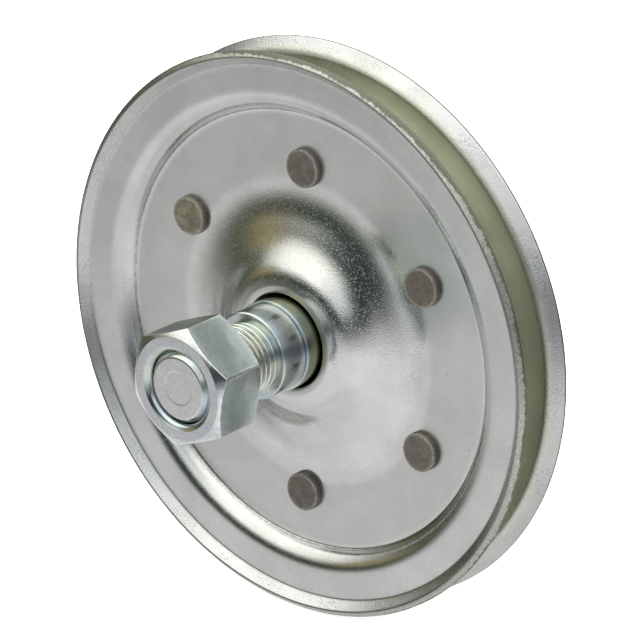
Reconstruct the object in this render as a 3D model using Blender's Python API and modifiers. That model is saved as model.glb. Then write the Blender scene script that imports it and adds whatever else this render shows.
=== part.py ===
"""Stud-mounted grooved idler pulley.

Two stamped steel discs are riveted back to back and form a V-shaped belt groove.
Their domed hubs are the outer race of a full ring of balls, which rolls round an
inner race clamped on a shouldered stud. The stud's thread and nut hold the pulley
on a bracket.

Frame: origin at the pulley's centre, axis of rotation along Y, threaded end towards -Y,
+Z up. Every piece is drawn upright on its own Z axis, measured from the groove's middle
plane, and the axis empties then lay it down along Y.
"""

import math

import bmesh
import bpy
from mathutils import Matrix

# ---------------------------------------------------------------- driving dimensions, metres

MM = 0.001
GAP = 0.3 * MM  # clearance between neighbouring pieces

# stamped discs: radii and heights of the outer face, from the middle plane
SHEET = 2.0 * MM
WEB_FACE = SHEET + GAP / 2
HUB_HOLE_R = 10.5 * MM
CROWN_R = 12.2 * MM
CROWN_FACE = 9.4 * MM
BROW_R = 15.6 * MM
BROW_FACE = 8.85 * MM
KNEE_R = 20.5 * MM
KNEE_FACE = 5.2 * MM
DOME_FOOT_R = 28.8 * MM
WEB_R = 49.4 * MM
FLANGE_IN_R = 51.2 * MM
FLANGE_OUT_R = 60.0 * MM
FLANGE_FACE = 5.7 * MM
RIM_R = 63.5 * MM
LIP_ANGLE = math.radians(50)
LIP_R = RIM_R - SHEET * math.sin(LIP_ANGLE)
LIP_FACE = FLANGE_FACE + (LIP_R - FLANGE_OUT_R) * math.tan(LIP_ANGLE)

# bend radii of the stamped discs' outer face
CROWN_BEND = 2.0 * MM
BROW_BEND = 8.0 * MM
KNEE_BEND = 17.0 * MM
DOME_FOOT_BEND = 20.0 * MM
WEB_BEND = 0.5 * MM
FLANGE_BEND = 4.5 * MM
LIP_BEND = 0.6 * MM

# rivets
RIVET_COUNT = 6
RIVET_CIRCLE_R = 37.5 * MM
RIVET_PHASE = math.radians(90)
RIVET_SHANK_R = 3.2 * MM
RIVET_TAIL_R = 4.3 * MM
RIVET_TAIL_H = 1.2 * MM
RIVET_TAIL_EDGE = 0.35 * MM
RIVET_HEAD_R = 5.4 * MM
RIVET_HEAD_H = 1.6 * MM
RIVET_HEAD_SHAPE = ((1.0, 0.35), (0.80, 0.80), (0.45, 1.0))  # shares of radius and height
RIVET_HOLE_DEPTH = 6 * SHEET

# ball bearing
BALL_COUNT = 10
BALL_R = 9.525 / 2 * MM
BALL_CIRCLE_R = 15.75 * MM
RACE_R = 10.1 * MM
RACE_SHOULDER_R = 13.4 * MM
RACE_SHOULDER_H = 6.7 * MM
RACE_SHOULDER_CHAMFER = 1.8 * MM
RACE_LAND_H = 5.4 * MM
RACE_FRONT = 13.4 * MM
RACE_BACK = -11.4 * MM
RACE_EDGE = 0.4 * MM

# stud, M16 x 1.5
THREAD_R = 8.0 * MM
SHANK_R = 7.9 * MM
COLLAR_R = 9.7 * MM
COLLAR_FACE = 20.4 * MM
COLLAR_EDGE = 0.5 * MM
STUD_END = 43.1 * MM
STUD_END_CHAMFER = 1.1 * MM
STUD_HEAD_R = 10.0 * MM
STUD_HEAD_H = 2.6 * MM
STUD_HEAD_SHAPE = ((1.0, 0.45), (0.88, 0.85), (0.70, 1.0))  # shares of radius and height

# nut, 24 mm across flats
NUT_ACROSS_FLATS = 24.0 * MM
NUT_BACK = 30.5 * MM
NUT_HEIGHT = 13.0 * MM
NUT_FACE_R = 11.4 * MM
NUT_BORE_R = THREAD_R + GAP
NUT_BORE_CHAMFER = 1.2 * MM
NUT_CHAMFER_ANGLE = math.radians(30)
NUT_TURN = math.radians(22)  # of one corner, from +X towards +Z
CUT_OVER = 1.0 * MM  # how far a blank or a cutter reaches past a face

# facets round each piece
DISC_STEPS = 60
TURNED_STEPS = 40
RIVET_STEPS = 16
BALL_STEPS = 12
BALL_RINGS = 8
FILLET_STEPS = 2
GROOVE_STEPS = 4

ZINC = (0.62, 0.64, 0.63)
ZINC_TINTED = (0.58, 0.62, 0.58)
BARE_STEEL = (0.20, 0.18, 0.17)
BALL_STEEL = (0.75, 0.76, 0.78)


# ---------------------------------------------------------------- helpers

def clear_scene():
    for obj in list(bpy.data.objects):
        bpy.data.objects.remove(obj, do_unlink=True)


def new_collection(name):
    collection = bpy.data.collections.new(name)
    bpy.context.scene.collection.children.link(collection)
    return collection


def metal(name, color, roughness):
    material = bpy.data.materials.new(name)
    material.use_nodes = True
    shader = material.node_tree.nodes["Principled BSDF"]
    shader.inputs["Base Color"].default_value = (*color, 1.0)
    shader.inputs["Metallic"].default_value = 1.0
    shader.inputs["Roughness"].default_value = roughness
    return material


def axis_empty(name, collection):
    """An empty at the pulley's centre whose Z axis points along the stud, towards -Y."""
    empty = bpy.data.objects.new(name, None)
    empty.rotation_euler = (math.radians(90), 0, 0)
    empty.empty_display_size = 20 * MM
    collection.objects.link(empty)
    return empty


def add_object(name, mesh, collection, parent, material=None):
    obj = bpy.data.objects.new(name, mesh)
    collection.objects.link(obj)
    obj.parent = parent
    if material:
        mesh.materials.append(material)
    return obj


def rounded(corners):
    """The (radius, height) points of an outline given as corners (radius, height, fillet)."""
    points = []
    last = len(corners) - 1
    for i, (r, z, fillet) in enumerate(corners):
        if not fillet or i in (0, last):
            points.append((r, z))
            continue
        before = (corners[i - 1][0] - r, corners[i - 1][1] - z)
        after = (corners[i + 1][0] - r, corners[i + 1][1] - z)
        before = tuple(c / math.hypot(*before) for c in before)
        after = tuple(c / math.hypot(*after) for c in after)
        half = math.acos(before[0] * after[0] + before[1] * after[1]) / 2
        tangent = fillet / math.tan(half)
        middle = (before[0] + after[0], before[1] + after[1])
        reach = fillet / math.sin(half) / math.hypot(*middle)
        centre = (r + middle[0] * reach, z + middle[1] * reach)
        start = math.atan2(z + before[1] * tangent - centre[1], r + before[0] * tangent - centre[0])
        end = math.atan2(z + after[1] * tangent - centre[1], r + after[0] * tangent - centre[0])
        turn = (end - start + math.pi) % (2 * math.pi) - math.pi
        for k in range(FILLET_STEPS + 1):
            angle = start + turn * k / FILLET_STEPS
            points.append((centre[0] + fillet * math.cos(angle), centre[1] + fillet * math.sin(angle)))
    return points


def profile_mesh(name, points, closed):
    mesh = bpy.data.meshes.new(name)
    shape = bmesh.new()
    verts = [shape.verts.new((r, 0, z)) for r, z in points]
    for a, b in zip(verts, verts[1:]):
        shape.edges.new((a, b))
    if closed:
        shape.edges.new((verts[-1], verts[0]))
    shape.to_mesh(mesh)
    shape.free()
    return mesh


def turned(name, points, steps, collection, parent, material=None, closed=False):
    """A profile turned round the Z axis. It runs down its outer side, from top to bottom."""
    obj = add_object(name, profile_mesh(name, points, closed), collection, parent, material)
    screw = obj.modifiers.new("turn", "SCREW")
    screw.axis = "Z"
    screw.angle = 2 * math.pi
    screw.steps = steps
    screw.render_steps = steps
    screw.use_merge_vertices = True
    screw.merge_threshold = 0.00001
    screw.use_smooth_shade = True
    return obj


def boolean(obj, name, operation, other):
    modifier = obj.modifiers.new(name, "BOOLEAN")
    modifier.operation = operation
    modifier.object = other
    modifier.solver = "EXACT"
    return modifier


def cutter(obj):
    obj.hide_render = True
    obj.display_type = "WIRE"
    return obj


def ring_positions(count, radius, phase=0.0):
    for i in range(count):
        angle = phase + 2 * math.pi * i / count
        yield i + 1, (radius * math.cos(angle), radius * math.sin(angle))


# ---------------------------------------------------------------- discs

def disc_outline():
    """The outer face of a disc, from the hub's hole over the bell-shaped dome, web and flange to the lip."""
    return rounded([
        (HUB_HOLE_R, CROWN_FACE, 0),
        (CROWN_R, CROWN_FACE, CROWN_BEND),
        (BROW_R, BROW_FACE, BROW_BEND),
        (KNEE_R, KNEE_FACE, KNEE_BEND),
        (DOME_FOOT_R, WEB_FACE, DOME_FOOT_BEND),
        (WEB_R, WEB_FACE, WEB_BEND),
        (FLANGE_IN_R, FLANGE_FACE, FLANGE_BEND),
        (FLANGE_OUT_R, FLANGE_FACE, LIP_BEND),
        (LIP_R, LIP_FACE, 0),
    ])


def rivet_hole_cutter(collection, parent):
    mesh = bpy.data.meshes.new("rivet_hole_cutter")
    shape = bmesh.new()
    for _, (x, y) in ring_positions(RIVET_COUNT, RIVET_CIRCLE_R, RIVET_PHASE):
        made = bmesh.ops.create_cone(
            shape, cap_ends=True, segments=RIVET_STEPS,
            radius1=RIVET_SHANK_R + GAP, radius2=RIVET_SHANK_R + GAP, depth=RIVET_HOLE_DEPTH,
        )
        bmesh.ops.translate(shape, verts=made["verts"], vec=(x, y, 0))
    shape.to_mesh(mesh)
    shape.free()
    return cutter(add_object("rivet_hole_cutter", mesh, collection, parent))


def disc(name, front, holes, collection, parent, material):
    """A stamped disc: one sheet of even thickness, bent as its outline and pierced for the rivets."""
    outline = disc_outline()
    if not front:
        outline = [(r, -z) for r, z in reversed(outline)]
    obj = turned(name, outline, DISC_STEPS, collection, parent, material)
    sheet = obj.modifiers.new("sheet", "SOLIDIFY")
    sheet.thickness = SHEET
    sheet.offset = -1
    sheet.use_even_offset = True
    boolean(obj, "rivet_holes", "DIFFERENCE", holes)
    return obj


# ---------------------------------------------------------------- rivets

def rivet_outline():
    """A solid rivet with a flat set tail in front and a low round head behind."""
    tail_under = WEB_FACE + GAP
    tail_top = tail_under + RIVET_TAIL_H
    head_under = -WEB_FACE - GAP
    return [
        (0, tail_top),
        (RIVET_TAIL_R - RIVET_TAIL_EDGE, tail_top),
        (RIVET_TAIL_R, tail_top - RIVET_TAIL_EDGE),
        (RIVET_TAIL_R, tail_under),
        (RIVET_SHANK_R, tail_under),
        (RIVET_SHANK_R, head_under),
        (RIVET_HEAD_R, head_under),
        *((RIVET_HEAD_R * r, head_under - RIVET_HEAD_H * h) for r, h in RIVET_HEAD_SHAPE),
        (0, head_under - RIVET_HEAD_H),
    ]


def add_rivets(collection, parent, material):
    for number, (x, y) in ring_positions(RIVET_COUNT, RIVET_CIRCLE_R, RIVET_PHASE):
        rivet = turned(f"rivet_{number}", rivet_outline(), RIVET_STEPS, collection, parent, material)
        rivet.location = (x, y, 0)


# ---------------------------------------------------------------- bearing

def add_balls(collection, parent, material):
    for number, (x, y) in ring_positions(BALL_COUNT, BALL_CIRCLE_R):
        mesh = bpy.data.meshes.new(f"ball_{number:02d}")
        shape = bmesh.new()
        bmesh.ops.create_uvsphere(shape, u_segments=BALL_STEPS, v_segments=BALL_RINGS, radius=BALL_R)
        shape.to_mesh(mesh)
        shape.free()
        mesh.shade_smooth()
        ball = add_object(f"ball_{number:02d}", mesh, collection, parent, material)
        ball.location = (x, y, 0)


def race_outline():
    """The inner race's outer side, top to bottom, then its bore: two sleeves either side of a grooved ring."""
    groove_r = BALL_R + GAP
    groove_half = math.acos((BALL_CIRCLE_R - RACE_SHOULDER_R) / groove_r)
    bore = SHANK_R + GAP
    groove = []
    for k in range(GROOVE_STEPS + 1):
        angle = math.pi - groove_half + 2 * groove_half * k / GROOVE_STEPS
        groove.append((BALL_CIRCLE_R + groove_r * math.cos(angle), groove_r * math.sin(angle)))
    return [
        (RACE_R - RACE_EDGE, RACE_FRONT),
        (RACE_R, RACE_FRONT - RACE_EDGE),
        (RACE_R, RACE_SHOULDER_H),
        (RACE_SHOULDER_R - RACE_SHOULDER_CHAMFER, RACE_SHOULDER_H),
        (RACE_SHOULDER_R, RACE_LAND_H),
        *groove,
        (RACE_SHOULDER_R, -RACE_LAND_H),
        (RACE_SHOULDER_R - RACE_SHOULDER_CHAMFER, -RACE_SHOULDER_H),
        (RACE_R, -RACE_SHOULDER_H),
        (RACE_R, RACE_BACK + RACE_EDGE),
        (RACE_R - RACE_EDGE, RACE_BACK),
        (bore, RACE_BACK),
        (bore, RACE_FRONT),
    ]


# ---------------------------------------------------------------- stud and nut

def stud_outline():
    """Threaded end, collar, shank through the race and a headed-over back end."""
    collar_back = RACE_FRONT + GAP
    head_under = RACE_BACK - GAP
    return [
        (0, STUD_END),
        (THREAD_R - STUD_END_CHAMFER, STUD_END),
        (THREAD_R, STUD_END - STUD_END_CHAMFER),
        (THREAD_R, COLLAR_FACE),
        (COLLAR_R - COLLAR_EDGE, COLLAR_FACE),
        (COLLAR_R, COLLAR_FACE - COLLAR_EDGE),
        (COLLAR_R, collar_back),
        (SHANK_R, collar_back),
        (SHANK_R, head_under),
        (STUD_HEAD_R, head_under),
        *((STUD_HEAD_R * r, head_under - STUD_HEAD_H * h) for r, h in STUD_HEAD_SHAPE),
        (0, head_under - STUD_HEAD_H),
    ]


def nut_chamfer_outline():
    """The double cone that rounds a nut's corners at both faces."""
    corner_r = NUT_ACROSS_FLATS / math.sqrt(3)
    drop = (corner_r - NUT_FACE_R) * math.tan(NUT_CHAMFER_ANGLE)
    far = 2 * corner_r - NUT_FACE_R
    top = NUT_BACK + NUT_HEIGHT
    return [
        (0, top),
        (NUT_FACE_R, top),
        (far, top - 2 * drop),
        (far, NUT_BACK + 2 * drop),
        (NUT_FACE_R, NUT_BACK),
        (0, NUT_BACK),
    ]


def nut_bore_outline():
    """The threaded hole, with a chamfer at each face."""
    wide = NUT_BORE_R + NUT_BORE_CHAMFER + CUT_OVER
    top = NUT_BACK + NUT_HEIGHT
    return [
        (0, top + CUT_OVER),
        (wide, top + CUT_OVER),
        (NUT_BORE_R, top - NUT_BORE_CHAMFER),
        (NUT_BORE_R, NUT_BACK + NUT_BORE_CHAMFER),
        (wide, NUT_BACK - CUT_OVER),
        (0, NUT_BACK - CUT_OVER),
    ]


def add_nut(collection, cutters, parent, material):
    mesh = bpy.data.meshes.new("nut")
    shape = bmesh.new()
    corner_r = NUT_ACROSS_FLATS / math.sqrt(3)
    bmesh.ops.create_cone(
        shape, cap_ends=True, segments=6,
        radius1=corner_r, radius2=corner_r, depth=NUT_HEIGHT + 2 * CUT_OVER,
    )
    corner_to_x = Matrix.Rotation(-math.pi / 2, 3, "Z")
    bmesh.ops.rotate(shape, verts=shape.verts, matrix=Matrix.Rotation(NUT_TURN, 3, "Z") @ corner_to_x)
    bmesh.ops.translate(shape, verts=shape.verts, vec=(0, 0, NUT_BACK + NUT_HEIGHT / 2))
    shape.to_mesh(mesh)
    shape.free()
    nut = add_object("nut", mesh, collection, parent, material)
    cone = cutter(turned("nut_chamfer_cutter", nut_chamfer_outline(), TURNED_STEPS, cutters, parent))
    bore = cutter(turned("nut_bore_cutter", nut_bore_outline(), TURNED_STEPS, cutters, parent))
    boolean(nut, "corner_chamfers", "INTERSECT", cone)
    boolean(nut, "bore", "DIFFERENCE", bore)
    return nut


# ---------------------------------------------------------------- the pulley

def build():
    clear_scene()
    parts = new_collection("idler_pulley")
    cutters = new_collection("cutters")
    zinc = metal("zinc_plated_sheet", ZINC, 0.35)
    tinted = metal("zinc_plated_machined", ZINC_TINTED, 0.25)
    bare = metal("bare_rivet_steel", BARE_STEEL, 0.55)
    bright = metal("ball_steel", BALL_STEEL, 0.08)

    stud_axis = axis_empty("stud_axis", parts)
    pulley_axis = axis_empty("pulley_axis", parts)
    ball_axis = axis_empty("ball_axis", parts)
    nut_axis = axis_empty("nut_axis", parts)

    turned("stud", stud_outline(), TURNED_STEPS, parts, stud_axis, tinted)
    turned("inner_race", race_outline(), TURNED_STEPS, parts, stud_axis, tinted, closed=True)

    holes = rivet_hole_cutter(cutters, pulley_axis)
    disc("front_disc", True, holes, parts, pulley_axis, zinc)
    disc("rear_disc", False, holes, parts, pulley_axis, zinc)
    add_rivets(parts, pulley_axis, bare)

    add_balls(parts, ball_axis, bright)
    add_nut(parts, cutters, nut_axis, tinted)


build()
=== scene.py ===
"""Looks of the stud-mounted idler pulley: fine meshes and zinc-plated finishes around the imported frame.

Every piece is drawn from a few turned or swept outlines. Heights run from the groove's middle plane
towards the threaded end, so a point (x, y, height) of a piece is (x, -height, y) in the frame.
"""

import math

import bpy
from mathutils import Matrix, Vector, noise


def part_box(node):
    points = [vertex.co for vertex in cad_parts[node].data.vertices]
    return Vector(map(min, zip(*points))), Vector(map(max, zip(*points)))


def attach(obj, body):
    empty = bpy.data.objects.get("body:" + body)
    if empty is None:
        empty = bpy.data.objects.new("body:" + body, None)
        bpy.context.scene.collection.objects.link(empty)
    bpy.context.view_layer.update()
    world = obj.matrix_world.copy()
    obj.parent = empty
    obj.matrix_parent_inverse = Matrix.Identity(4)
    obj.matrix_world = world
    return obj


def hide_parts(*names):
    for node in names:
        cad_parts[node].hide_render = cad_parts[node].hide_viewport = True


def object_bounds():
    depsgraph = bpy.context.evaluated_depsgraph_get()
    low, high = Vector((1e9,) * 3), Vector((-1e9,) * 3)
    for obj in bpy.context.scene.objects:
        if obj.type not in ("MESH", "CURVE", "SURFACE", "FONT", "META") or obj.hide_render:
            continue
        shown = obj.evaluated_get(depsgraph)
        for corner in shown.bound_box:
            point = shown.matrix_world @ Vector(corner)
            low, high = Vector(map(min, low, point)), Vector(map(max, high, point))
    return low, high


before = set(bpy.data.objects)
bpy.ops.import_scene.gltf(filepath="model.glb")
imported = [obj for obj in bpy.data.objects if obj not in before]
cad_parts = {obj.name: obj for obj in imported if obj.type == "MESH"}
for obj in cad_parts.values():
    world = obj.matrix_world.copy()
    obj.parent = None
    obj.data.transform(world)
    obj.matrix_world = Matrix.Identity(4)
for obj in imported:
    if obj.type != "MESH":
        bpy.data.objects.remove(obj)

MM = 0.001
TAU = 2 * math.pi
cad_low, cad_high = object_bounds()

# ---------------------------------------------------------------- sizes read from the frame


def top_of(node):
    """How far a node reaches towards the threaded end."""
    return -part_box(node)[0].y


def back_of(node):
    """How far a node reaches the other way, as a negative height."""
    return -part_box(node)[1].y


def radius_of(node):
    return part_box(node)[1].z


RIM_R = radius_of("front_disc")
CROWN_FACE = top_of("front_disc")
RACE_FRONT = top_of("inner_race")
RACE_BACK = back_of("inner_race")
RACE_SHOULDER_R = radius_of("inner_race")
STUD_END = top_of("stud")
STUD_BACK = back_of("stud")
STUD_HEAD_R = radius_of("stud")
NUT_TOP = top_of("nut")
NUT_BACK = back_of("nut")

# ---------------------------------------------------------------- driving dimensions, metres

SHEET = 2.0 * MM
WEB_FACE = 2.15 * MM
DIE_ROLL = 0.30 * MM
BURR = 0.36 * MM
HUB_HOLE_R = 10.5 * MM
HUB_ROLL = 0.55 * MM
CROWN_R = 12.2 * MM
BROW_R = 15.6 * MM
BROW_FACE = CROWN_FACE - 0.55 * MM
KNEE_R = 20.5 * MM
KNEE_FACE = 5.2 * MM
DOME_FOOT_R = 28.8 * MM
WEB_R = 49.4 * MM
FLANGE_IN_R = 51.2 * MM
FLANGE_OUT_R = 60.0 * MM
FLANGE_FACE = 5.7 * MM
LIP_ANGLE = math.radians(50)
LIP_R = RIM_R - SHEET * math.sin(LIP_ANGLE)
LIP_FACE = FLANGE_FACE + (LIP_R - FLANGE_OUT_R) * math.tan(LIP_ANGLE)

RIVET_HOLE_R = 3.5 * MM
RIVET_SHANK_R = 3.2 * MM
RIVET_TAIL_R = 4.3 * MM
RIVET_HEAD_R = 5.4 * MM
WORN_RIVET = "rivet_2"
RIVET_STEPS = 72

BALL_R = 4.7625 * MM
BALL_CIRCLE_R = 15.75 * MM
RACE_R = 10.1 * MM
RACE_BORE_R = 8.2 * MM
RACE_SHOULDER_H = 6.7 * MM
RACE_GROOVE_R = BALL_R + 0.15 * MM
BALL_STEPS = 48
BALL_ROWS = 24

PITCH = 1.5 * MM
THREAD_R = 8.0 * MM
THREAD_DEPTH = 0.92 * MM
SHANK_R = 7.9 * MM
COLLAR_R = 9.7 * MM
COLLAR_FACE = 20.4 * MM
NECK_R = 7.25 * MM

NUT_ACROSS_FLATS = 24.0 * MM
NUT_FACE_R = 11.4 * MM
NUT_TURN = math.radians(22)
NUT_BORE_R = 8.06 * MM
NUT_WAIST = NUT_TOP - 5.2 * MM

POLE_R = 0.3 * MM
DISC_STEPS = 480
TURNED_STEPS = 192
SEED = 7

# ---------------------------------------------------------------- outlines


def clamp(value):
    """The value, held between 0 and 1."""
    return min(1.0, max(0.0, value))


def direction(angle):
    return Vector((math.cos(angle), math.sin(angle)))


def rounded(corners, steps=8, longest=0.9 * MM):
    """Points along corners (radius, height, fillet, tag), with arcs at fillets and long runs divided.

    Each point is (radius, height, tag); a tag names the finish of what follows it.
    """
    runs = []
    last = len(corners) - 1
    for i, (r, z, fillet, tag) in enumerate(corners):
        here = Vector((r, z))
        if not fillet or i in (0, last):
            runs.append((here, tag))
            continue
        before = (Vector(corners[i - 1][:2]) - here).normalized()
        after = (Vector(corners[i + 1][:2]) - here).normalized()
        half = before.angle(after) / 2
        tangent = fillet / math.tan(half)
        centre = here + (before + after).normalized() * (fillet / math.sin(half))
        start = here + before * tangent - centre
        end = here + after * tangent - centre
        turn = start.angle_signed(end)
        for k in range(steps + 1):
            spin = Matrix.Rotation(-turn * k / steps, 2)
            runs.append((centre + spin @ start, tag if k == steps else corners[i - 1][3]))
    points = []
    for (a, tag), (b, _) in zip(runs, runs[1:]):
        pieces = max(1, math.ceil((b - a).length / longest))
        points += [(*(a + (b - a) * k / pieces), tag) for k in range(pieces)]
    return points + [(*runs[-1][0], runs[-1][1])]


# ---------------------------------------------------------------- meshes

def swept(name, rows, finishes, closed=False, caps=(None, None), attributes=None):
    """A smooth solid from rows of points (x, y, height), listed from its top down its outer side.

    rows holds (points, finish number). caps are the finish numbers of a fan over the first and the
    last row, or None. attributes holds for each row one value, or one for each of its points.
    """
    columns = len(rows[0][0])
    verts = [point for points, _ in rows for point in points]
    row_of = [k for k in range(len(rows)) for _ in range(columns)]
    faces, tags = [], []
    for i in range(len(rows) if closed else len(rows) - 1):
        j = (i + 1) % len(rows)
        for a in range(columns):
            b = (a + 1) % columns
            faces.append((i * columns + a, j * columns + a, j * columns + b, i * columns + b))
            tags.append(rows[i][1])
    for cap, row in zip(caps, (0, len(rows) - 1)):
        if cap is None:
            continue
        points = rows[row][0]
        middle = len(verts)
        verts.append(tuple(sum(p[k] for p in points) / columns for k in range(3)))
        row_of.append(row)
        for a in range(columns):
            rim = (row * columns + a, row * columns + (a + 1) % columns)
            faces.append((middle, *(rim[::-1] if row else rim)))
            tags.append(cap)
    mesh = bpy.data.meshes.new(name)
    mesh.from_pydata([(x, -h, y) for x, y, h in verts], [], faces)
    for finish in finishes:
        mesh.materials.append(finish)
    mesh.polygons.foreach_set("material_index", tags)
    mesh.polygons.foreach_set("use_smooth", [True] * len(faces))
    for key, values in (attributes or {}).items():
        layer = mesh.attributes.new(key, "FLOAT", "POINT")
        each = [v for value in values for v in (value if isinstance(value, list) else [value] * columns)]
        each += [each[row * columns] for row in row_of[len(each):]]
        layer.data.foreach_set("value", each)
    mesh.update()
    obj = bpy.data.objects.new(name, mesh)
    bpy.context.scene.collection.objects.link(obj)
    flats = obj.modifiers.new("flat_faces_stay_flat", "WEIGHTED_NORMAL")
    flats.mode = "FACE_AREA"
    flats.weight = 50
    return obj


def ring(radius, height, steps=TURNED_STEPS, centre=(0, 0)):
    angles = [TAU * k / steps for k in range(steps)]
    return [(centre[0] + radius * math.cos(a), centre[1] + radius * math.sin(a), height) for a in angles]


def turned(name, points, finishes, closed=False, caps=(None, None), attributes=None):
    rows = [(ring(r, h), tag) for r, h, tag in points]
    return swept(name, rows, finishes, closed, caps, attributes)


def wander(seed, x, y=0.0, z=0.0):
    """Smooth noise from -1 to 1 that repeats for the same seed."""
    return noise.noise(Vector((x + 17.3 * seed, y - 9.1 * seed, z + 4.7 * seed)))


# ---------------------------------------------------------------- node helpers


class Graph:
    """Short calls that add nodes to one tree."""

    def __init__(self, tree):
        self.tree = tree

    def node(self, kind, inputs=None, **settings):
        made = self.tree.nodes.new(kind)
        for key, value in settings.items():
            setattr(made, key, value)
        for key, value in (inputs or {}).items():
            if isinstance(value, bpy.types.NodeSocket):
                self.tree.links.new(value, made.inputs[key])
            else:
                made.inputs[key].default_value = value
        return made

    def math(self, operation, a, b=0.0):
        return self.node("ShaderNodeMath", {0: a, 1: b}, operation=operation).outputs[0]

    def attribute(self, name):
        return self.node("ShaderNodeAttribute", attribute_name=name).outputs["Fac"]

    def off_axis(self, where):
        """Distance from the pulley's axis."""
        flat = self.stretched(where, (1.0, 0.0, 1.0))
        return self.node("ShaderNodeVectorMath", {0: flat}, operation="LENGTH").outputs["Value"]

    def noise(self, where, size, detail=2.0, roughness=0.5, distortion=0.0):
        """Noise whose patches are about size across."""
        inputs = {"Vector": where, "Scale": 1 / size, "Detail": detail, "Roughness": roughness,
                  "Distortion": distortion}
        return self.node("ShaderNodeTexNoise", inputs).outputs["Fac"]

    def remap(self, value, low, high, to_low=0.0, to_high=1.0, steady=False):
        inputs = {"Value": value, "From Min": low, "From Max": high, "To Min": to_low, "To Max": to_high}
        kind = "LINEAR" if steady else "SMOOTHSTEP"
        return self.node("ShaderNodeMapRange", inputs, interpolation_type=kind).outputs["Result"]

    def mix(self, factor, a, b, blend="MIX"):
        made = self.node("ShaderNodeMix", {0: factor}, data_type="RGBA", blend_type=blend)
        for key, value in ((6, a), (7, b)):
            if isinstance(value, bpy.types.NodeSocket):
                self.tree.links.new(value, made.inputs[key])
            else:
                made.inputs[key].default_value = (*value, 1.0)
        return made.outputs[2]

    def ramp(self, value, stops):
        """Colours at places along 0 to 1."""
        made = self.node("ShaderNodeValToRGB", {"Fac": value})
        for k, (place, colour) in enumerate(stops):
            stop = made.color_ramp.elements[k] if k < 2 else made.color_ramp.elements.new(place)
            stop.position = place
            stop.color = (*colour, 1.0)
        return made.outputs["Color"]

    def stretched(self, where, scale, turn=(0, 0, 0)):
        inputs = {"Vector": where, "Scale": scale, "Rotation": turn}
        return self.node("ShaderNodeMapping", inputs).outputs["Vector"]

    def band(self, value, middle, half, edge):
        """1 within half of the middle, falling softly to 0 over the edge."""
        off = self.math("ABSOLUTE", self.math("SUBTRACT", value, middle))
        return self.remap(off, half + edge, half)

    def bump(self, height, distance, strength=1.0, normal=None):
        inputs = {"Height": height, "Distance": distance, "Strength": strength}
        if normal is not None:
            inputs["Normal"] = normal
        return self.node("ShaderNodeBump", inputs).outputs["Normal"]

    def specks(self, where, spacing, size, share):
        """Small round spots of 1 on 0: one in some of the cells, spacing apart."""
        inputs = {"Vector": where, "Scale": 1 / spacing, "Randomness": 1.0}
        cells = self.node("ShaderNodeTexVoronoi", inputs)
        lot = self.node("ShaderNodeSeparateColor", {0: cells.outputs["Color"]}).outputs[0]
        chosen = self.math("LESS_THAN", lot, share)
        return self.math("MULTIPLY", chosen, self.remap(cells.outputs["Distance"], size, size * 0.4))


def finish(name, metallic=1.0):
    material = bpy.data.materials.new(name)
    material.use_nodes = True
    graph = Graph(material.node_tree)
    shader = material.node_tree.nodes["Principled BSDF"]
    shader.inputs["Metallic"].default_value = metallic
    where = graph.node("ShaderNodeTexCoord").outputs["Object"]
    return material, graph, shader, where


def plug(graph, shader, **sockets):
    for key, value in sockets.items():
        graph.tree.links.new(value, shader.inputs[key.replace("_", " ")])


# ---------------------------------------------------------------- finishes


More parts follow.
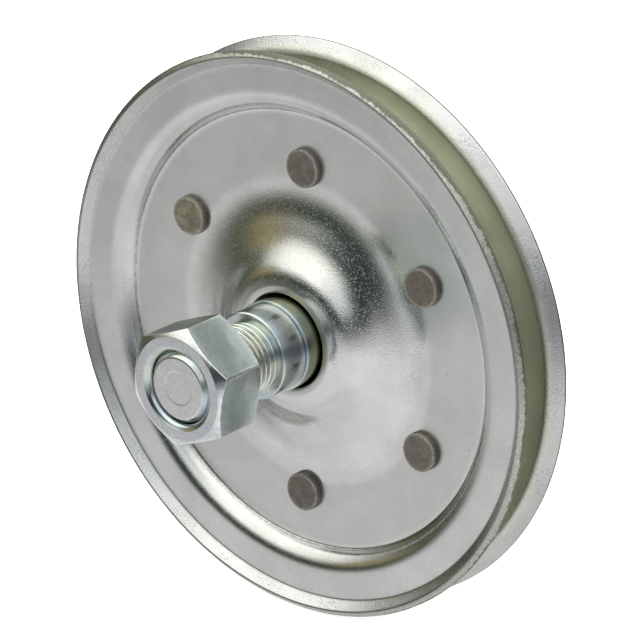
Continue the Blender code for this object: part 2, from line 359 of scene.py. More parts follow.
def zinc_sheet(name, pale, deep, groove_pale, groove_deep, stain, satin, drawn, grain):
    """Satin zinc plate on stamped sheet.

    It is clouded and speckled, glossier and grainier where forming stretched the sheet, paler and
    yellower in the groove, and pebbled and flecked on the lip. Painted shade darkens the crease at the
    web's edge, and a stained band runs along the lip's bend.
    """
    material, g, shader, where = finish(name)
    stretch = g.attribute("stretch")
    groove = g.attribute("groove")
    lip = g.attribute("lip")
    calm = g.attribute("calm")
    rim = g.attribute("rim")
    cloud = g.noise(where, 14 * MM, 4, 0.55, 0.3)
    mottle = g.noise(where, 0.9 * MM, 4, 0.6)
    shade = g.remap(cloud, 0.35, 0.68)
    colour = g.mix(groove, g.mix(shade, deep, pale), g.mix(shade, groove_deep, groove_pale))
    colour = g.mix(g.remap(mottle, 0.40, 0.75, 0.0, 0.10), colour, tuple(0.78 * c for c in pale))
    colour = g.mix(g.math("MULTIPLY", rim, 0.12), colour, (0.0, 0.0, 0.0))
    radius = g.off_axis(where)
    # painted shade in the crease at the web's edge, and a real stained band along the lip's bend
    off_foot = g.math("ABSOLUTE", g.math("SUBTRACT", radius, WEB_R + 0.05 * MM))
    off_bend = g.math("ABSOLUTE", g.math("SUBTRACT", radius, FLANGE_OUT_R))
    crease_shade_and_stain = g.math("ADD", g.remap(off_foot, 0.34 * MM, 0.10 * MM, 0.0, 0.6),
                  g.remap(off_bend, 0.45 * MM, 0.05 * MM, 0.0, 0.3))
    crease_shade_and_stain = g.math("MULTIPLY", crease_shade_and_stain, g.remap(mottle, 0.35, 0.60, 0.6, 1.0))
    colour = g.mix(crease_shade_and_stain, colour, (0.16, 0.165, 0.155))
    patch = g.remap(g.noise(where, 9 * MM, 2, 0.5), 0.42, 0.60)
    flecks = g.remap(g.noise(where, 0.42 * MM, 3, 0.7), 0.50, 0.60)
    flecks = g.math("MULTIPLY", g.math("MULTIPLY", flecks, patch), g.math("MULTIPLY", lip, 0.34))
    colour = g.mix(flecks, colour, (0.17, 0.19, 0.24))
    smear = g.noise(g.stretched(where, (1.0, 1.0, 0.28), (0, 0.6, 0)), 5 * MM, 3, 0.6, 0.8)
    colour = g.mix(g.remap(smear, 0.62, 0.82, 0.0, 0.28), colour, stain)
    spots = g.specks(where, 5.5 * MM, 0.055, 0.30)
    pits = g.specks(where, 2.4 * MM, 0.08, 0.14)
    marks = g.math("MAXIMUM", g.math("MULTIPLY", spots, 0.5), g.math("MULTIPLY", pits, 0.28))
    colour = g.mix(marks, colour, (0.24, 0.22, 0.18))
    rough = g.math("ADD", g.remap(stretch, 0.0, 0.6, satin, drawn), g.remap(cloud, 0.3, 0.7, -0.02, 0.03))
    rough = g.math("ADD", rough, g.remap(mottle, 0.35, 0.65, -0.015, 0.025))
    for area, duller in ((rim, 0.08), (marks, 0.2), (groove, 0.28)):
        rough = g.math("ADD", rough, g.math("MULTIPLY", area, duller))
    peel = g.noise(where, 0.30 * MM, 2, 0.55)
    beads = g.remap(g.noise(where, 0.42 * MM, 3, 0.7), 0.55, 0.66)
    coarse = g.noise(where, 2.6 * MM, 2, 0.5)
    strength = g.math("MULTIPLY", g.remap(stretch, 0.0, 1.0, 0.07, 1.0), g.math("SUBTRACT", 1.0, calm))
    normal = g.bump(coarse, 0.016 * MM, 0.5)
    normal = g.bump(peel, grain, strength, normal)
    normal = g.bump(beads, 0.40 * grain, strength, normal)
    pebbles = g.noise(where, 0.48 * MM, 3, 0.7)
    normal = g.bump(pebbles, 0.055 * MM, lip, normal)
    lines = g.noise(g.stretched(where, (1.0, 1.0, 0.03), (0, 1.1, 0)), 0.35 * MM, 1, 0.5)
    normal = g.bump(g.remap(lines, 0.66, 0.74), 0.006 * MM, 0.5, normal)
    plug(g, shader, Base_Color=colour, Roughness=rough, Normal=normal)
    return material


def cut_edge(name):
    """The sheared edge of the sheet: burnished on one side, ragged with tearing, pits and painted shade on
    the other.

    across runs from 0 at the rolled side to 1 at the burr. The dark zone by the burr is tearing with
    painted shade, and near the top of the rim it reaches further.
    """
    material, g, shader, where = finish(name)
    across = g.attribute("across")
    place = g.node("ShaderNodeSeparateXYZ", {0: where})
    # painted shade by the burr, laid in with the tearing zone: it reaches further near the top of the rim
    turn = g.math("ARCTAN2", place.outputs["X"], place.outputs["Z"])
    off_top = g.math("ABSOLUTE", g.math("SUBTRACT", turn, 0.25))
    darker_near_top = g.remap(off_top, 0.75, 0.30, 0.0, 0.40)
    grit = g.noise(where, 0.32 * MM, 3, 0.65)
    tears = g.noise(where, 0.85 * MM, 3, 0.65, 0.4)
    patches = g.noise(where, 4.5 * MM, 2, 0.5)
    uneven = g.math("ADD", g.remap(patches, 0.3, 0.7, -0.12, 0.10), g.remap(tears, 0.3, 0.7, -0.10, 0.10))
    torn_and_shade = g.remap(g.math("ADD", g.math("ADD", across, darker_near_top), uneven), 0.66, 0.90)
    rolled = g.remap(across, 0.32, 0.10)
    colour = g.mix(g.remap(grit, 0.35, 0.65), (0.34, 0.34, 0.31), (0.62, 0.62, 0.56))
    colour = g.mix(g.remap(tears, 0.50, 0.72, 0.0, 0.5), colour, (0.36, 0.33, 0.25))
    colour = g.mix(g.math("MULTIPLY", rolled, 0.70), colour, (0.20, 0.205, 0.20))
    colour = g.mix(g.math("MULTIPLY", torn_and_shade, 0.85), colour, (0.13, 0.125, 0.105))
    nicks = g.specks(where, 0.9 * MM, 0.30, 0.24)
    rust = g.specks(where, 3.4 * MM, 0.11, 0.20)
    colour = g.mix(g.math("MULTIPLY", nicks, 0.6), colour, (0.17, 0.16, 0.13))
    colour = g.mix(rust, colour, (0.10, 0.055, 0.03))
    rough = g.math("ADD", g.remap(torn_and_shade, 0.0, 1.0, 0.28, 0.42), g.math("MULTIPLY", rust, 0.3))
    normal = g.bump(grit, 0.05 * MM, 0.9)
    normal = g.bump(tears, 0.06 * MM, 0.8, normal)
    plug(g, shader, Base_Color=colour, Roughness=rough, Normal=normal)
    return material


def turned_zinc(name, cool, warm, roughness, tool_marks):
    """Bright zinc plate on turned steel, with fine tool rings and a drifting cool and warm tint."""
    material, g, shader, where = finish(name)
    place = g.node("ShaderNodeSeparateXYZ", {0: where})
    tint = g.noise(g.stretched(where, (1.0, 1.6, 1.0)), 7 * MM, 3, 0.55, 0.6)
    colour = g.mix(g.remap(tint, 0.36, 0.64), cool, warm)
    mottle = g.noise(where, 0.7 * MM, 3, 0.6)
    colour = g.mix(g.remap(mottle, 0.35, 0.7, 0.0, 0.18), colour, tuple(0.72 * c for c in cool))
    spots = g.specks(where, 2.3 * MM, 0.08, 0.12)
    colour = g.mix(g.math("MULTIPLY", spots, 0.35), colour, (0.28, 0.26, 0.22))
    rough = g.remap(mottle, 0.3, 0.7, roughness - 0.04, roughness + 0.05)
    depth = g.math("ADD", g.off_axis(where), place.outputs["Y"])
    rings = g.node("ShaderNodeTexNoise", {"W": depth, "Scale": 1 / (0.16 * MM), "Detail": 2.0},
                   noise_dimensions="1D").outputs["Fac"]
    normal = g.bump(rings, tool_marks, 0.8)
    normal = g.bump(g.noise(where, 0.5 * MM, 3, 0.6), 0.012 * MM, 0.8, normal)
    plug(g, shader, Base_Color=colour, Roughness=rough, Normal=normal)
    return material


def forged_zinc(name, cool, warm, roughness, edge, reflection_band=0.0):
    """Zinc plate on a forged nut: cloudy satin faces, a painted dark reflection round the middle of the
    flats, and corners rubbed bright.
    """
    material, g, shader, where = finish(name)
    worn = g.attribute("worn")
    cloud = g.noise(where, 5.5 * MM, 3, 0.55, 0.4)
    mottle = g.noise(where, 0.45 * MM, 3, 0.6)
    colour = g.mix(g.remap(cloud, 0.38, 0.62), cool, warm)
    colour = g.mix(g.remap(mottle, 0.35, 0.7, 0.0, 0.14), colour, tuple(0.70 * c for c in cool))
    along = g.node("ShaderNodeSeparateXYZ", {0: where}).outputs["Y"]
    # painted reflection: a dark band round the middle of the flats, where the web would be mirrored
    uneven = g.math("ADD", along, g.remap(cloud, 0.3, 0.7, -1.3 * MM, 1.3 * MM))
    off_waist = g.math("ABSOLUTE", g.math("ADD", uneven, NUT_WAIST))
    dark = tuple(0.62 * c for c in cool)
    colour = g.mix(g.remap(off_waist, 5.0 * MM, 0.5 * MM, 0.0, reflection_band), colour, dark)
    rub = g.math("MULTIPLY", worn, g.remap(g.noise(where, 1.1 * MM, 3, 0.6), 0.35, 0.55))
    colour = g.mix(rub, colour, edge)
    spots = g.specks(where, 3.6 * MM, 0.07, 0.16)
    colour = g.mix(g.math("MULTIPLY", spots, 0.7), colour, (0.88, 0.89, 0.87))
    rough = g.math("ADD", g.remap(mottle, 0.3, 0.7, roughness - 0.05, roughness + 0.07),
                   g.math("MULTIPLY", rub, -0.10))
    normal = g.bump(cloud, 0.06 * MM, 0.5)
    normal = g.bump(g.noise(where, 0.36 * MM, 3, 0.6), 0.008 * MM, 1.0, normal)
    plug(g, shader, Base_Color=colour, Roughness=rough, Normal=normal)
    return material


def rivet_steel(name, scale, deep, yellowed):
    """Dark rivet steel with a thin scale, yellow in patches, and lighter where the edge is rubbed."""
    material, g, shader, where = finish(name, metallic=0.55)
    worn = g.attribute("worn")
    cloud = g.noise(where, 1.9 * MM, 4, 0.6, 0.4)
    mottle = g.noise(where, 0.35 * MM, 4, 0.65)
    colour = g.mix(g.remap(cloud, 0.3, 0.7), deep, scale)
    colour = g.mix(g.remap(mottle, 0.45, 0.75, 0.0, 0.5), colour, (0.075, 0.066, 0.056))
    yellow = g.remap(g.noise(where, 2.6 * MM, 4, 0.7, 0.3), 0.46, 0.72, 0.0, yellowed)
    colour = g.mix(yellow, colour, (0.42, 0.38, 0.17))
    rub = g.math("MULTIPLY", worn, g.remap(mottle, 0.38, 0.60))
    colour = g.mix(g.math("MULTIPLY", rub, 0.45), colour, (0.42, 0.40, 0.35))
    rough = g.remap(mottle, 0.3, 0.7, 0.36, 0.56)
    normal = g.bump(cloud, 0.06 * MM, 0.6)
    normal = g.bump(mottle, 0.03 * MM, 0.8, normal)
    plug(g, shader, Base_Color=colour, Roughness=rough, Normal=normal)
    return material


def polished_steel(name):
    """Bearing steel with fine rolling marks under a film of oil."""
    material, g, shader, where = finish(name)
    film = g.noise(where, 2.4 * MM, 3, 0.6, 0.4)
    colour = g.mix(g.remap(film, 0.35, 0.65), (0.70, 0.70, 0.69), (0.60, 0.58, 0.46))
    rough = g.remap(film, 0.3, 0.7, 0.07, 0.16)
    normal = g.bump(g.noise(where, 0.25 * MM, 2, 0.5), 0.002 * MM, 0.6)
    plug(g, shader, Base_Color=colour, Roughness=rough, Normal=normal)
    return material


SHEET_FACE = zinc_sheet(
    "zinc_sheet", pale=(0.700, 0.703, 0.697), deep=(0.610, 0.615, 0.608),
    groove_pale=(0.800, 0.805, 0.695), groove_deep=(0.690, 0.702, 0.590), stain=(0.53, 0.52, 0.46),
    satin=0.33, drawn=0.055, grain=0.024 * MM)
SHEET_EDGE = cut_edge("sheet_cut_edge")
TURNED = turned_zinc("turned_zinc", (0.490, 0.565, 0.610), (0.610, 0.650, 0.590), 0.14, 0.004 * MM)
THREAD = turned_zinc("thread_zinc", (0.680, 0.710, 0.690), (0.780, 0.790, 0.690), 0.14, 0.003 * MM)
STUD_FACE = turned_zinc("stud_end_zinc", (0.620, 0.625, 0.632), (0.660, 0.657, 0.648), 0.25, 0.003 * MM)
# oil film and painted shade: the race inside the hub's hole is coloured dark where shade falls
OILED_AND_SHADED = turned_zinc("oiled_and_shaded_race", (0.215, 0.250, 0.215), (0.275, 0.285, 0.190), 0.15, 0.003 * MM)
# the flats carry the painted dark reflection band round their middle
NUT_SIDE = forged_zinc("nut_side", (0.580, 0.670, 0.675), (0.700, 0.770, 0.740), 0.20, (0.80, 0.83, 0.81),
                       reflection_band=0.65)
NUT_FACE = forged_zinc("nut_face", (0.560, 0.572, 0.612), (0.600, 0.607, 0.645), 0.24, (0.74, 0.75, 0.77))
NUT_BEVEL = forged_zinc("nut_bevel", (0.620, 0.640, 0.680), (0.690, 0.700, 0.710), 0.10, (0.82, 0.83, 0.84))
RIVET = rivet_steel("rivet_steel", (0.115, 0.103, 0.092), (0.078, 0.068, 0.059), 0.05)
RIVET_STAINED = rivet_steel("rivet_steel_stained", (0.150, 0.140, 0.108), (0.092, 0.086, 0.064), 0.32)
POLISHED = polished_steel("polished_steel")

# ---------------------------------------------------------------- stamped discs


def normals(points):
    """The outward normal at each (radius, height) of an outline that runs outwards along a top face."""
    found = []
    for k in range(len(points)):
        a = points[max(k - 1, 0)]
        b = points[min(k + 1, len(points) - 1)]
        run = Vector((b[0] - a[0], b[1] - a[1])).normalized()
        found.append(Vector((-run.y, run.x)))
    return found


def stretch_at(radius):
    """How much forming has roughened the sheet: most on the dome, some on the step and the lip."""
    crown = clamp((radius - CROWN_R) / (1.5 * MM))
    dome = crown * clamp((DOME_FOOT_R + 7 * MM - radius) / (5 * MM))
    rim = clamp((radius - WEB_R + 1.5 * MM) / (2 * MM))
    return max(dome, 0.75 * rim)


def groove_tint(radius):
    """The plate is yellower in the groove, up to the lip's bend."""
    return clamp((FLANGE_OUT_R + 0.6 * MM - radius) / (1.2 * MM))


def disc_rows(side, seed):
    """Rows of a stamped disc. side is 1 for the disc on the nut's side and -1 for the other.

    Each point of the loop is (radius, height, finish, place across the cut edge, groove tint).
    """
    face = rounded([
        (HUB_HOLE_R + HUB_ROLL, CROWN_FACE, 0, 0),
        (CROWN_R, CROWN_FACE, 2 * MM, 0),
        (BROW_R, BROW_FACE, 8 * MM, 0),
        (KNEE_R, KNEE_FACE, 17 * MM, 0),
        (DOME_FOOT_R, WEB_FACE, 20 * MM, 0),
        (WEB_R, WEB_FACE, 0.5 * MM, 0),
        (FLANGE_IN_R, FLANGE_FACE, 4.5 * MM, 0),
        (FLANGE_OUT_R, FLANGE_FACE, 0.6 * MM, 0),
        (LIP_R, LIP_FACE, 0, 0),
    ])
    outward = normals(face)
    outer = [(r, h, 0, 0.0, 0.0) for r, h, _ in face]
    inner = [(r - n.x * SHEET, h - n.y * SHEET, 0, 0.0, groove_tint(r))
             for (r, h, _), n in zip(face, outward)]
    loop = outer[:-1]
    loop += edge_rows(face[-1], outward[-1])
    loop += inner[-2:0:-1]
    loop += hub_rows(inner[0], face[0])
    if side < 0:
        loop = [(r, -h, *rest) for r, h, *rest in reversed(loop)]
    rows = [(disc_ring(r, h, side, seed, tag, across), tag) for r, h, tag, across, _ in loop]
    attributes = {
        "stretch": [stretch_at(r) for r, *_ in loop],
        "across": [across for *_, across, _ in loop],
        "groove": [groove for *_, groove in loop],
        "lip": [clamp((r - FLANGE_OUT_R) / (0.5 * MM)) for r, *_ in loop],
        "rim": [clamp((r - WEB_R) / (1.5 * MM)) for r, *_ in loop],
        "calm": [0.7 if FLANGE_IN_R + 2 * MM < r < FLANGE_OUT_R - 0.3 * MM else 0.0 for r, *_ in loop],
    }
    return rows, attributes


def edge_rows(corner, normal, steps=16):
    """The lip's cut edge, from its outer corner to its burr."""
    out = Vector((normal.y, -normal.x))
    start = Vector(corner[:2])
    rows = []
    for k in range(steps + 1):
        t = k / steps
        depth = t * SHEET
        sink = 0.0
        if depth < DIE_ROLL:
            sink = DIE_ROLL - math.sqrt(DIE_ROLL ** 2 - (DIE_ROLL - depth) ** 2)
        elif SHEET - depth < BURR:
            sink = BURR - math.sqrt(BURR ** 2 - (BURR - (SHEET - depth)) ** 2)
        place = start - normal * depth - out * sink
        rows.append((place.x, place.y, 1, t, 0.0))
    return rows


def hub_rows(under, over, steps=10):
    """The rolled edge of the hub's hole, from below to above."""
    half = (over[1] - under[1]) / 2
    rows = []
    for k in range(steps):
        angle = -math.pi / 2 + math.pi * k / steps
        radius = under[0] - HUB_ROLL * math.cos(angle)
        rows.append((radius, under[1] + half + half * math.sin(angle), 0, 0.0, 0.0))
    return rows


def disc_ring(radius, height, side, seed, tag, across):
    """A circle of the disc, with the slight waves and the ragged edge of a stamping."""
    far = max(0.0, (radius - WEB_R) / (RIM_R - WEB_R))
    points = []
    for k in range(DISC_STEPS):
        angle = TAU * k / DISC_STEPS
        x, y = math.cos(angle), math.sin(angle)
        wave = wander(seed, 1.3 * x, 1.3 * y) * 0.10 * MM * far
        wave += wander(seed + 1, 5 * x, 5 * y, radius / (9 * MM)) * 0.018 * MM
        pull = wander(seed + 2, 2.2 * x, 2.2 * y) * 0.05 * MM * far - 0.05 * MM * far
        if tag == 1:
            ragged = wander(seed + 3, 60 * x, 60 * y, across * 2.0) * 0.6 + wander(seed + 4, 16 * x, 16 * y)
            pull += ragged * 0.05 * MM * math.sin(math.pi * across)
        r = radius + pull
        points.append((r * x, r * y, height + side * wave))
    return points


def pierce(disc, holes):
    """Cuts the rivet holes and keeps the result as the disc's own mesh."""
    disc.modifiers.clear()
    cut = disc.modifiers.new("rivet_holes", "BOOLEAN")
    cut.operation = "DIFFERENCE"
    cut.object = holes
    cut.solver = "EXACT"
    graph = bpy.context.evaluated_depsgraph_get()
    mesh = bpy.data.meshes.new_from_object(disc.evaluated_get(graph))
    disc.modifiers.remove(cut)
    whole = disc.data
    disc.data = mesh
    bpy.data.meshes.remove(whole)


def rivet_centres():
    """Centres of the rivets, read from the frame, as (node, x, y)."""
    for node in sorted(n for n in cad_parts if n.startswith("rivet_")):
        low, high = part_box(node)
        yield node, (low.x + high.x) / 2, (low.z + high.z) / 2


def hole_cutter():
    verts, faces = [], []
    steps = 32
    for _, x, y in rivet_centres():
        first = len(verts)
        for h in (3 * SHEET, -3 * SHEET):
            verts += [(px, -ph, py) for px, py, ph in ring(RIVET_HOLE_R, h, steps, (x, y))]
        top = list(range(first, first + steps))
        bottom = list(range(first + steps, first + 2 * steps))
        faces += [top, bottom[::-1]]
        for a in range(steps):
            b = (a + 1) % steps
            faces.append((top[a], bottom[a], bottom[b], top[b]))
    mesh = bpy.data.meshes.new("rivet_hole_cutter")
    mesh.from_pydata(verts, [], faces)
    mesh.materials.append(SHEET_FACE)
    cutter = bpy.data.objects.new("rivet_hole_cutter", mesh)
    bpy.context.scene.collection.objects.link(cutter)
    return cutter


def add_discs():
    holes = hole_cutter()
    for node, side, seed in (("front_disc", 1, SEED), ("rear_disc", -1, SEED + 10)):
        rows, attributes = disc_rows(side, seed)
        disc = swept(node + "_fine", rows, [SHEET_FACE, SHEET_EDGE], closed=True, attributes=attributes)
        pierce(disc, holes)
        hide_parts(node)
        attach(disc, "pulley")
    bpy.data.objects.remove(holes, do_unlink=True)


# ---------------------------------------------------------------- rivets


def add_rivets():
    """Solid rivets: a sheared flat tail in front, its edge rubbed, and a low round head behind.

    Each leans and bulges a little, and one is rougher and stained.
    """
    for number, (node, x, y) in enumerate(rivet_centres()):
        seed = SEED + 20 + number
        tail_top = top_of(node)
        head_top = back_of(node)
        tail_under = WEB_FACE + 0.02 * MM
        head_under = -tail_under
        rough = 2.4 if node == WORN_RIVET else 1.0
        outline = rounded([
            (POLE_R, tail_top, 0, 0),
            (RIVET_TAIL_R, tail_top, 0.30 * MM, 0),
            (RIVET_TAIL_R + 0.06 * MM, tail_under, 0.10 * MM, 0),
            (RIVET_SHANK_R, tail_under, 0.10 * MM, 0),
            (RIVET_SHANK_R, head_under, 0.10 * MM, 0),
            (RIVET_HEAD_R, head_under, 0.12 * MM, 0),
            (RIVET_HEAD_R, head_under - 0.45 * MM, 0.5 * MM, 0),
            (RIVET_HEAD_R * 0.55, head_top, 2.4 * MM, 0),
            (POLE_R, head_top, 0, 0),
        ], steps=6, longest=0.45 * MM)
        rows, worn = [], []
        lean = (0.02 * wander(seed, 3.1), 0.02 * wander(seed, 7.7))
        for r, h, tag in outline:
            points = []
            front = h > tail_under
            for k in range(RIVET_STEPS):
                angle = TAU * k / RIVET_STEPS
                cx, cy = math.cos(angle), math.sin(angle)
                out = r * (1 + 0.012 * wander(seed + 5, 1.2 * cx, 1.2 * cy))
                dent = wander(seed + 7, r * cx / (1.4 * MM), r * cy / (1.4 * MM)) * 0.035 * MM * rough
                if front:
                    burr = wander(seed + 6, 5 * cx, 5 * cy, h / MM) * 0.05 * MM * rough
                    out += burr * (r / RIVET_TAIL_R) ** 4
                    share = (h - tail_under) / (tail_top - tail_under)
                    dent = (dent - 0.04 * MM * rough + r * (lean[0] * cx + lean[1] * cy)) * share
                elif h < head_under:
                    dent = -dent * (head_under - h) / (head_under - head_top) * 0.4
                else:
                    dent = 0.0
                points.append((x + out * cx, y + out * cy, h + dent))
            rows.append((points, tag))
            near_edge = front and r > RIVET_TAIL_R - 0.32 * MM and h > tail_top - 0.5 * MM
            worn.append(1.0 if near_edge else 0.0)
        steel = RIVET_STAINED if node == WORN_RIVET else RIVET
        rivet = swept(node + "_fine", rows, [steel], caps=(0, 0), attributes={"worn": worn})
        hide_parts(node)
        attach(rivet, "pulley")


# ---------------------------------------------------------------- bearing


def race_outline():
    """The inner race: a bright sleeve in front, an oiled neck darkened by painted shade, the polished
    groove, and a sleeve behind.
    """
    half = math.acos((BALL_CIRCLE_R - RACE_SHOULDER_R) / RACE_GROOVE_R)
    steps = 20
    groove = []
    for k in range(steps + 1):
        angle = math.pi - half + 2 * half * k / steps
        groove.append((BALL_CIRCLE_R + RACE_GROOVE_R * math.cos(angle), RACE_GROOVE_R * math.sin(angle), 1))
    edge = 0.45 * MM
    above = rounded([
        (RACE_BORE_R, RACE_FRONT - 1 * MM, 0, 0),
        (RACE_BORE_R, RACE_FRONT, 0.1 * MM, 0),
        (RACE_R, RACE_FRONT, 0.12 * MM, 0),
        (RACE_R, RACE_FRONT - 0.6 * MM, 0, 2),
        (RACE_R, RACE_SHOULDER_H, edge, 2),
        (RACE_SHOULDER_R, RACE_SHOULDER_H, 1.4 * MM, 2),
        (RACE_SHOULDER_R, groove[0][1] + 0.1 * MM, 0, 2),
    ])
    below = rounded([
        (RACE_SHOULDER_R, groove[-1][1] - 0.1 * MM, 0, 2),
        (RACE_SHOULDER_R, -RACE_SHOULDER_H, 1.4 * MM, 2),
        (RACE_R, -RACE_SHOULDER_H, edge, 2),
        (RACE_R, RACE_BACK, edge, 0),
        (RACE_BORE_R, RACE_BACK, 0.3 * MM, 0),
        (RACE_BORE_R, RACE_BACK + 1 * MM, 0, 0),
    ])
    return above + groove + below


def add_bearing():
    race = turned("inner_race_fine", race_outline(), [TURNED, POLISHED, OILED_AND_SHADED], closed=True)
    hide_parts("inner_race")
    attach(race, "stud")
    for node in sorted(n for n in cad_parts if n.startswith("ball_")):
        low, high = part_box(node)
        middle = (low + high) / 2
        rows = []
        for k in range(1, BALL_ROWS):
            angle = math.pi * k / BALL_ROWS
            height = BALL_R * math.cos(angle) - middle.y
            rows.append((ring(BALL_R * math.sin(angle), height, BALL_STEPS, (middle.x, middle.z)), 0))
        ball = swept(node + "_fine", rows, [POLISHED], caps=(0, 0))
        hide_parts(node)
        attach(ball, "ball_set")


# ---------------------------------------------------------------- stud


def thread_radius(angle, height, crest, depth, phase=0.0):
    """A rolled 60 degree thread, right-handed, with flat crests and round roots."""
    t = (height / PITCH - angle / TAU + phase) % 1.0
    peak = abs(2 * t - 1)
    rise = clamp((peak - 0.22) / (0.86 - 0.22))
    return crest - depth * (1 - rise * rise * (3 - 2 * rise) * 0.35 - rise * 0.65)


def stud_rows():
    """Rows down the stud: marked end, chamfer, thread, neck, collar, shank and headed-over end."""
    end_flat = THREAD_R - 1.1 * MM
    chamfer = 1.2 * MM
    mark_r = 3.8 * MM
    mark_face = STUD_END - 0.04 * MM
    rows = []
    for r, h, tag in rounded([
        (POLE_R, mark_face, 0, 1),
        (mark_r - 0.3 * MM, mark_face, 0.2 * MM, 1),
        (mark_r + 0.1 * MM, STUD_END, 0.3 * MM, 1),
        (end_flat, STUD_END, 0, 1),
    ], longest=0.5 * MM):
        rows.append((ring(r, h), tag))
    neck_top = COLLAR_FACE + 1.3 * MM
    run_out = 0.9 * MM
    fine = 0.085 * MM
    count = round((STUD_END - neck_top) / fine)
    for i in range(1, count + 1):
        h = STUD_END - (STUD_END - neck_top) * i / count
        below = STUD_END - h
        cone = end_flat + (THREAD_R - end_flat) * min(1.0, below / chamfer)
        depth = THREAD_DEPTH * clamp(below / chamfer - 1)
        fade = min(1.0, (h - neck_top) / run_out)
        points = []
        for k in range(TURNED_STEPS):
            angle = TAU * k / TURNED_STEPS
            r = min(thread_radius(angle, h, THREAD_R - 0.02 * MM, depth), cone)
            r = NECK_R + (r - NECK_R) * fade if h < neck_top + run_out else r
            points.append((r * math.cos(angle), r * math.sin(angle), h))
        rows.append((points, 0 if below < chamfer else 2))
    collar_back = RACE_FRONT + 0.1 * MM
    head_face = RACE_BACK - 0.1 * MM
    dimple_floor = STUD_BACK + 0.7 * MM
    for r, h, tag in rounded([
        (NECK_R, neck_top - 0.05 * MM, 0, 0),
        (NECK_R, COLLAR_FACE, 0.45 * MM, 0),
        (COLLAR_R - 0.30 * MM, COLLAR_FACE, 0.10 * MM, 0),
        (COLLAR_R, COLLAR_FACE - 0.30 * MM, 0.10 * MM, 0),
        (COLLAR_R, collar_back, 0.10 * MM, 0),
        (SHANK_R, collar_back, 0.15 * MM, 0),
        (SHANK_R, head_face, 0.15 * MM, 0),
        (STUD_HEAD_R, head_face, 0.25 * MM, 0),
        (STUD_HEAD_R, STUD_BACK + 1.4 * MM, 1.2 * MM, 1),
        (STUD_HEAD_R * 0.72, STUD_BACK, 2.0 * MM, 1),
        (3.1 * MM, STUD_BACK, 0.4 * MM, 1),
        (2.4 * MM, dimple_floor, 0.4 * MM, 1),
        (POLE_R, dimple_floor, 0, 1),
    ]):
        rows.append((ring(r, h), tag))
    return rows


def add_stud():
    stud = swept("stud_fine", stud_rows(), [TURNED, STUD_FACE, THREAD], caps=(1, 1))
    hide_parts("stud")
    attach(stud, "stud")


# ---------------------------------------------------------------- nut


def hexagon(across_flats, corner, per_flat=22, per_corner=8):
    """Points round a hexagon with rounded corners, as (x, y, nearness to a corner)."""
    points = []
    apothem = across_flats / 2 - corner
    for side in range(6):
        corner_angle = NUT_TURN + side * TAU / 6
        centre = direction(corner_angle) * apothem / math.cos(TAU / 12)
        for k in range(per_corner + 1):
            angle = corner_angle - TAU / 12 + TAU / 6 * k / per_corner
            place = centre + direction(angle) * corner
            points.append((place.x, place.y, 1.0))
        out = direction(corner_angle + TAU / 12) * corner
        start = centre + out
        end = direction(corner_angle + TAU / 6) * apothem / math.cos(TAU / 12) + out
        for k in range(1, per_flat):
            place = start + (end - start) * k / per_flat
            points.append((place.x, place.y, 0.0))
    return points


def nut_rows():
    """Rows round the nut: top face, chamfer, flats, lower chamfer, back face and threaded bore.

    The corners, and the edges between flats and chamfers, are rubbed bright. The bore's mouths are
    coned and rounded.
    """
    outline = hexagon(NUT_ACROSS_FLATS, 0.55 * MM)
    slope = math.tan(math.radians(30))
    mouth = NUT_BORE_R + 1.25 * MM
    lead = 0.3 * MM
    cut = 1.25
    flat_shares = (0.05, 0.12, 0.3, 0.5, 0.7, 0.88, 0.95)
    fillet_steps = 5
    columns = []
    for x, y, _ in outline:
        reach = math.hypot(x, y)
        drop = (reach - NUT_FACE_R) * slope
        top, back = NUT_TOP - drop, NUT_BACK + drop
        columns.append(rounded([
            (mouth - lead * cut * 1.3, NUT_TOP - lead, 0, 2),
            (mouth, NUT_TOP, 0.10 * MM, 0),
            (NUT_FACE_R, NUT_TOP, 0.22 * MM, 3),
            (reach, top, 0.14 * MM, 1),
            *((reach, top + (back - top) * share, 0, 1) for share in flat_shares),
            (reach, back, 0.14 * MM, 3),
            (NUT_FACE_R, NUT_BACK, 0.22 * MM, 0),
            (mouth, NUT_BACK, 0.10 * MM, 2),
            (mouth - lead * cut, NUT_BACK + lead, 0, 2),
        ], steps=fillet_steps, longest=1.0))
    fillet = fillet_steps + 1
    end_rows = [0.0] * (1 + 2 * fillet) + [1.0] * fillet
    rub_of_row = end_rows + [0.7] + [0.0] * (len(flat_shares) - 2) + [0.7] + end_rows[::-1]
    rows, worn = [], []
    for k in range(len(columns[0])):
        points, rub = [], []
        for (x, y, near), column in zip(outline, columns):
            r, h, _ = column[k]
            reach = math.hypot(x, y)
            points.append((x / reach * r, y / reach * r, h))
            rub.append(max(rub_of_row[k], 1.0 if near and r > NUT_FACE_R + 1 * MM else 0.0))
        rows.append((points, columns[0][k][2]))
        worn.append(rub)
    fine = 0.12 * MM
    plain = 1.2 * MM
    count = round((NUT_TOP - NUT_BACK) / fine)
    for k in range(1, count):
        h = NUT_BACK + (NUT_TOP - NUT_BACK) * k / count
        inside = min(h - NUT_BACK, NUT_TOP - h)
        if inside < lead + 0.5 * fine:
            continue
        left = 1 - min(1.0, inside * cut / (mouth - NUT_BORE_R))
        cone = NUT_BORE_R + (mouth - NUT_BORE_R) * (0.5 * left + 0.5 * (1 - math.sqrt(1 - left * left)))
        depth = 0.5 * MM * clamp((inside - plain) / (1.0 * MM))
        points = []
        for x, y, _ in outline:
            angle = math.atan2(y, x)
            r = max(thread_radius(angle, h, NUT_BORE_R + depth, depth), cone)
            points.append((r * math.cos(angle), r * math.sin(angle), h))
        rows.append((points, 2))
        worn.append(0.0)
    return rows, worn


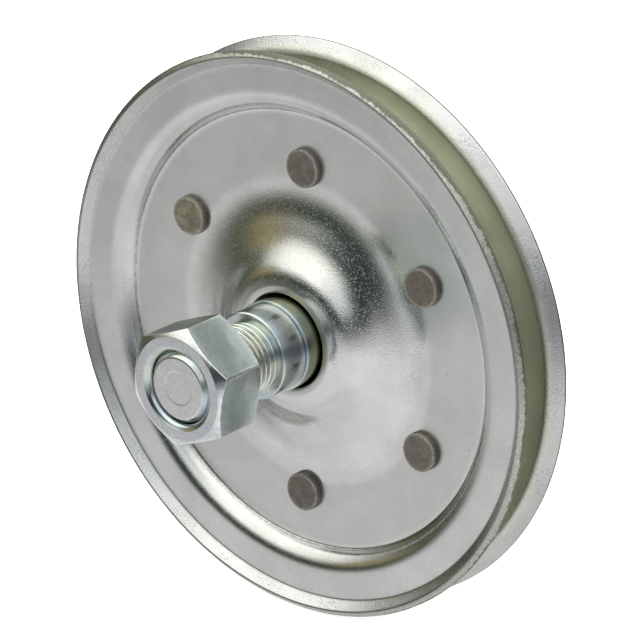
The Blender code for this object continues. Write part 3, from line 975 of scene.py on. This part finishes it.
def add_nut():
    rows, worn = nut_rows()
    finishes = [NUT_FACE, NUT_SIDE, TURNED, NUT_BEVEL]
    nut = swept("nut_fine", rows, finishes, closed=True, attributes={"worn": worn})
    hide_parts("nut")
    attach(nut, "nut")


# ---------------------------------------------------------------- studio

AZIMUTH = math.radians(40.35)
ELEVATION = math.radians(22.32)
DISTANCE = 0.9032
AIM_RIGHT = 1.645 * MM
AIM_UP = 1.784 * MM
LENS_MM = 236.25
SENSOR_MM = 36.0


def add_camera():
    back = Vector((math.sin(AZIMUTH) * math.cos(ELEVATION), -math.cos(AZIMUTH) * math.cos(ELEVATION),
                   math.sin(ELEVATION)))
    right = Vector((math.cos(AZIMUTH), math.sin(AZIMUTH), 0))
    up = back.cross(right)
    data = bpy.data.cameras.new("camera")
    data.lens = LENS_MM
    data.sensor_width = SENSOR_MM
    data.clip_start = 0.01
    data.clip_end = 30
    camera = bpy.data.objects.new("camera", data)
    camera.location = back * DISTANCE + right * AIM_RIGHT + up * AIM_UP
    camera.rotation_euler = (-back).to_track_quat("-Z", "Y").to_euler()
    bpy.context.scene.collection.objects.link(camera)
    bpy.context.scene.camera = camera


# the light of the studio, as the tones that satin zinc shows, which are this share of the light itself
LIGHT_SHARE = 0.66
# the room all round, from the table to the lights: degrees above level, tone
LEVELS = (
    (-50, (0.52, 0.53, 0.52)),
    (-30, (0.58, 0.58, 0.58)),
    (-24, (0.47, 0.47, 0.46)),
    (-18, (0.34, 0.35, 0.33)),
    (-11, (0.17, 0.18, 0.18)),
    (-4, (0.09, 0.09, 0.09)),
    (4, (0.07, 0.08, 0.08)),
    (11, (0.12, 0.12, 0.12)),
    (18, (0.29, 0.30, 0.28)),
    (26, (0.59, 0.60, 0.56)),
    (36, (1.00, 1.00, 0.94)),
    (48, (1.15, 1.15, 1.10)),
)
# soft cards before it: middle, half width and soft edge, in degrees from -Y towards +X and then in
# degrees above level, and tone
CARDS = (
    (-76, 7, 29, -35, 9, 3, (0.39, 0.40, 0.39)),  # shade on the table, left
    (26, 38, 60, -27, 18, 13, (0.63, 0.63, 0.63)),  # table, right
    (-57, 24, 60, 2, 4, 24, (0.07, 0.08, 0.05)),  # dark card, left
    (-27, 1, 60, 31, 7, 23, (1.10, 1.12, 1.02)),  # main light, left
    (0, 9, 60, 6, 3, 25, (0.03, 0.04, 0.04)),  # dark card, middle
    (70, 7, 60, 3, 3, 25, (0.18, 0.18, 0.20)),  # dim card, right
    (30, 4, 16, 39, 6, 25, (0.93, 0.96, 1.03)),  # light, right of the middle
    (-57, 1, 18, 9, 1, 14, (0.26, 0.21, 0.11)),  # brown card, left
    (52, 14, 60, 35, 5, 25, (0.61, 0.63, 0.63)),  # gap between the lights, right
)


def lit(tone):
    """The light that satin zinc shows as this tone."""
    return tuple(c / LIGHT_SHARE for c in tone)


def add_world():
    """A pale table below, a dark room at eye level, large soft lights above, and a few soft cards."""
    world = bpy.data.worlds.new("studio")
    bpy.context.scene.world = world
    world.use_nodes = True
    g = Graph(world.node_tree)
    background = world.node_tree.nodes["Background"]
    direction = g.node("ShaderNodeTexCoord").outputs["Generated"]
    place = g.node("ShaderNodeSeparateXYZ", {0: direction})
    front = g.math("MULTIPLY", place.outputs["Y"], -1.0)
    turn = g.math("DEGREES", g.math("ARCTAN2", place.outputs["X"], front))
    rise = g.math("DEGREES", g.math("ARCSINE", place.outputs["Z"]))
    heights = [math.sin(math.radians(level)) for level, _ in LEVELS]
    low, high = heights[0], heights[-1]
    stops = [((height - low) / (high - low), lit(tone)) for height, (_, tone) in zip(heights, LEVELS)]
    colour = g.ramp(g.remap(place.outputs["Z"], low, high, steady=True), stops)
    for turn_middle, turn_half, turn_edge, rise_middle, rise_half, rise_edge, tone in CARDS:
        across = g.band(turn, turn_middle, turn_half, turn_edge)
        up = g.band(rise, rise_middle, rise_half, rise_edge)
        colour = g.mix(g.math("MULTIPLY", across, up), colour, lit(tone))
    seen = g.node("ShaderNodeLightPath").outputs["Is Camera Ray"]
    colour = g.mix(seen, colour, (1.0, 1.0, 1.0))
    world.node_tree.links.new(colour, background.inputs["Color"])


def add_floor():
    mesh = bpy.data.meshes.new("floor")
    reach = 4.0
    level = cad_low.z - 0.02 * MM
    corners = [(x * reach, y * reach, level) for x, y in ((-1, -1), (1, -1), (1, 1), (-1, 1))]
    mesh.from_pydata(corners, [], [(0, 1, 2, 3)])
    material, g, shader, where = finish("floor_paper", metallic=0.0)
    tone = g.remap(g.noise(where, 0.4, 2), 0.3, 0.7)
    colour = g.mix(tone, (0.90, 0.90, 0.90), (0.92, 0.92, 0.92))
    plug(g, shader, Base_Color=colour)
    shader.inputs["Roughness"].default_value = 0.9
    shader.inputs["Specular IOR Level"].default_value = 0.1
    shader.inputs["Emission Color"].default_value = (1, 1, 1, 1)
    shader.inputs["Emission Strength"].default_value = 0.75
    mesh.materials.append(material)
    floor = bpy.data.objects.new("floor", mesh)
    bpy.context.scene.collection.objects.link(floor)
    floor.visible_glossy = False


def add_lamp(name, place, size, power):
    """A soft square light aimed at the part, which brightens the floor but isn't mirrored in the plate."""
    data = bpy.data.lights.new(name, "AREA")
    data.shape = "SQUARE"
    data.size = size
    data.energy = power
    lamp = bpy.data.objects.new(name, data)
    lamp.location = place
    lamp.rotation_euler = (-Vector(place)).to_track_quat("-Z", "Y").to_euler()
    lamp.visible_glossy = False
    lamp.visible_camera = False
    bpy.context.scene.collection.objects.link(lamp)


def main():
    add_discs()
    add_rivets()
    add_bearing()
    add_stud()
    add_nut()
    add_camera()
    add_world()
    add_floor()
    add_lamp("top_light", (0.2, -0.5, 1.5), 1.6, 30)
    bpy.context.scene.view_settings.view_transform = "Standard"


main()
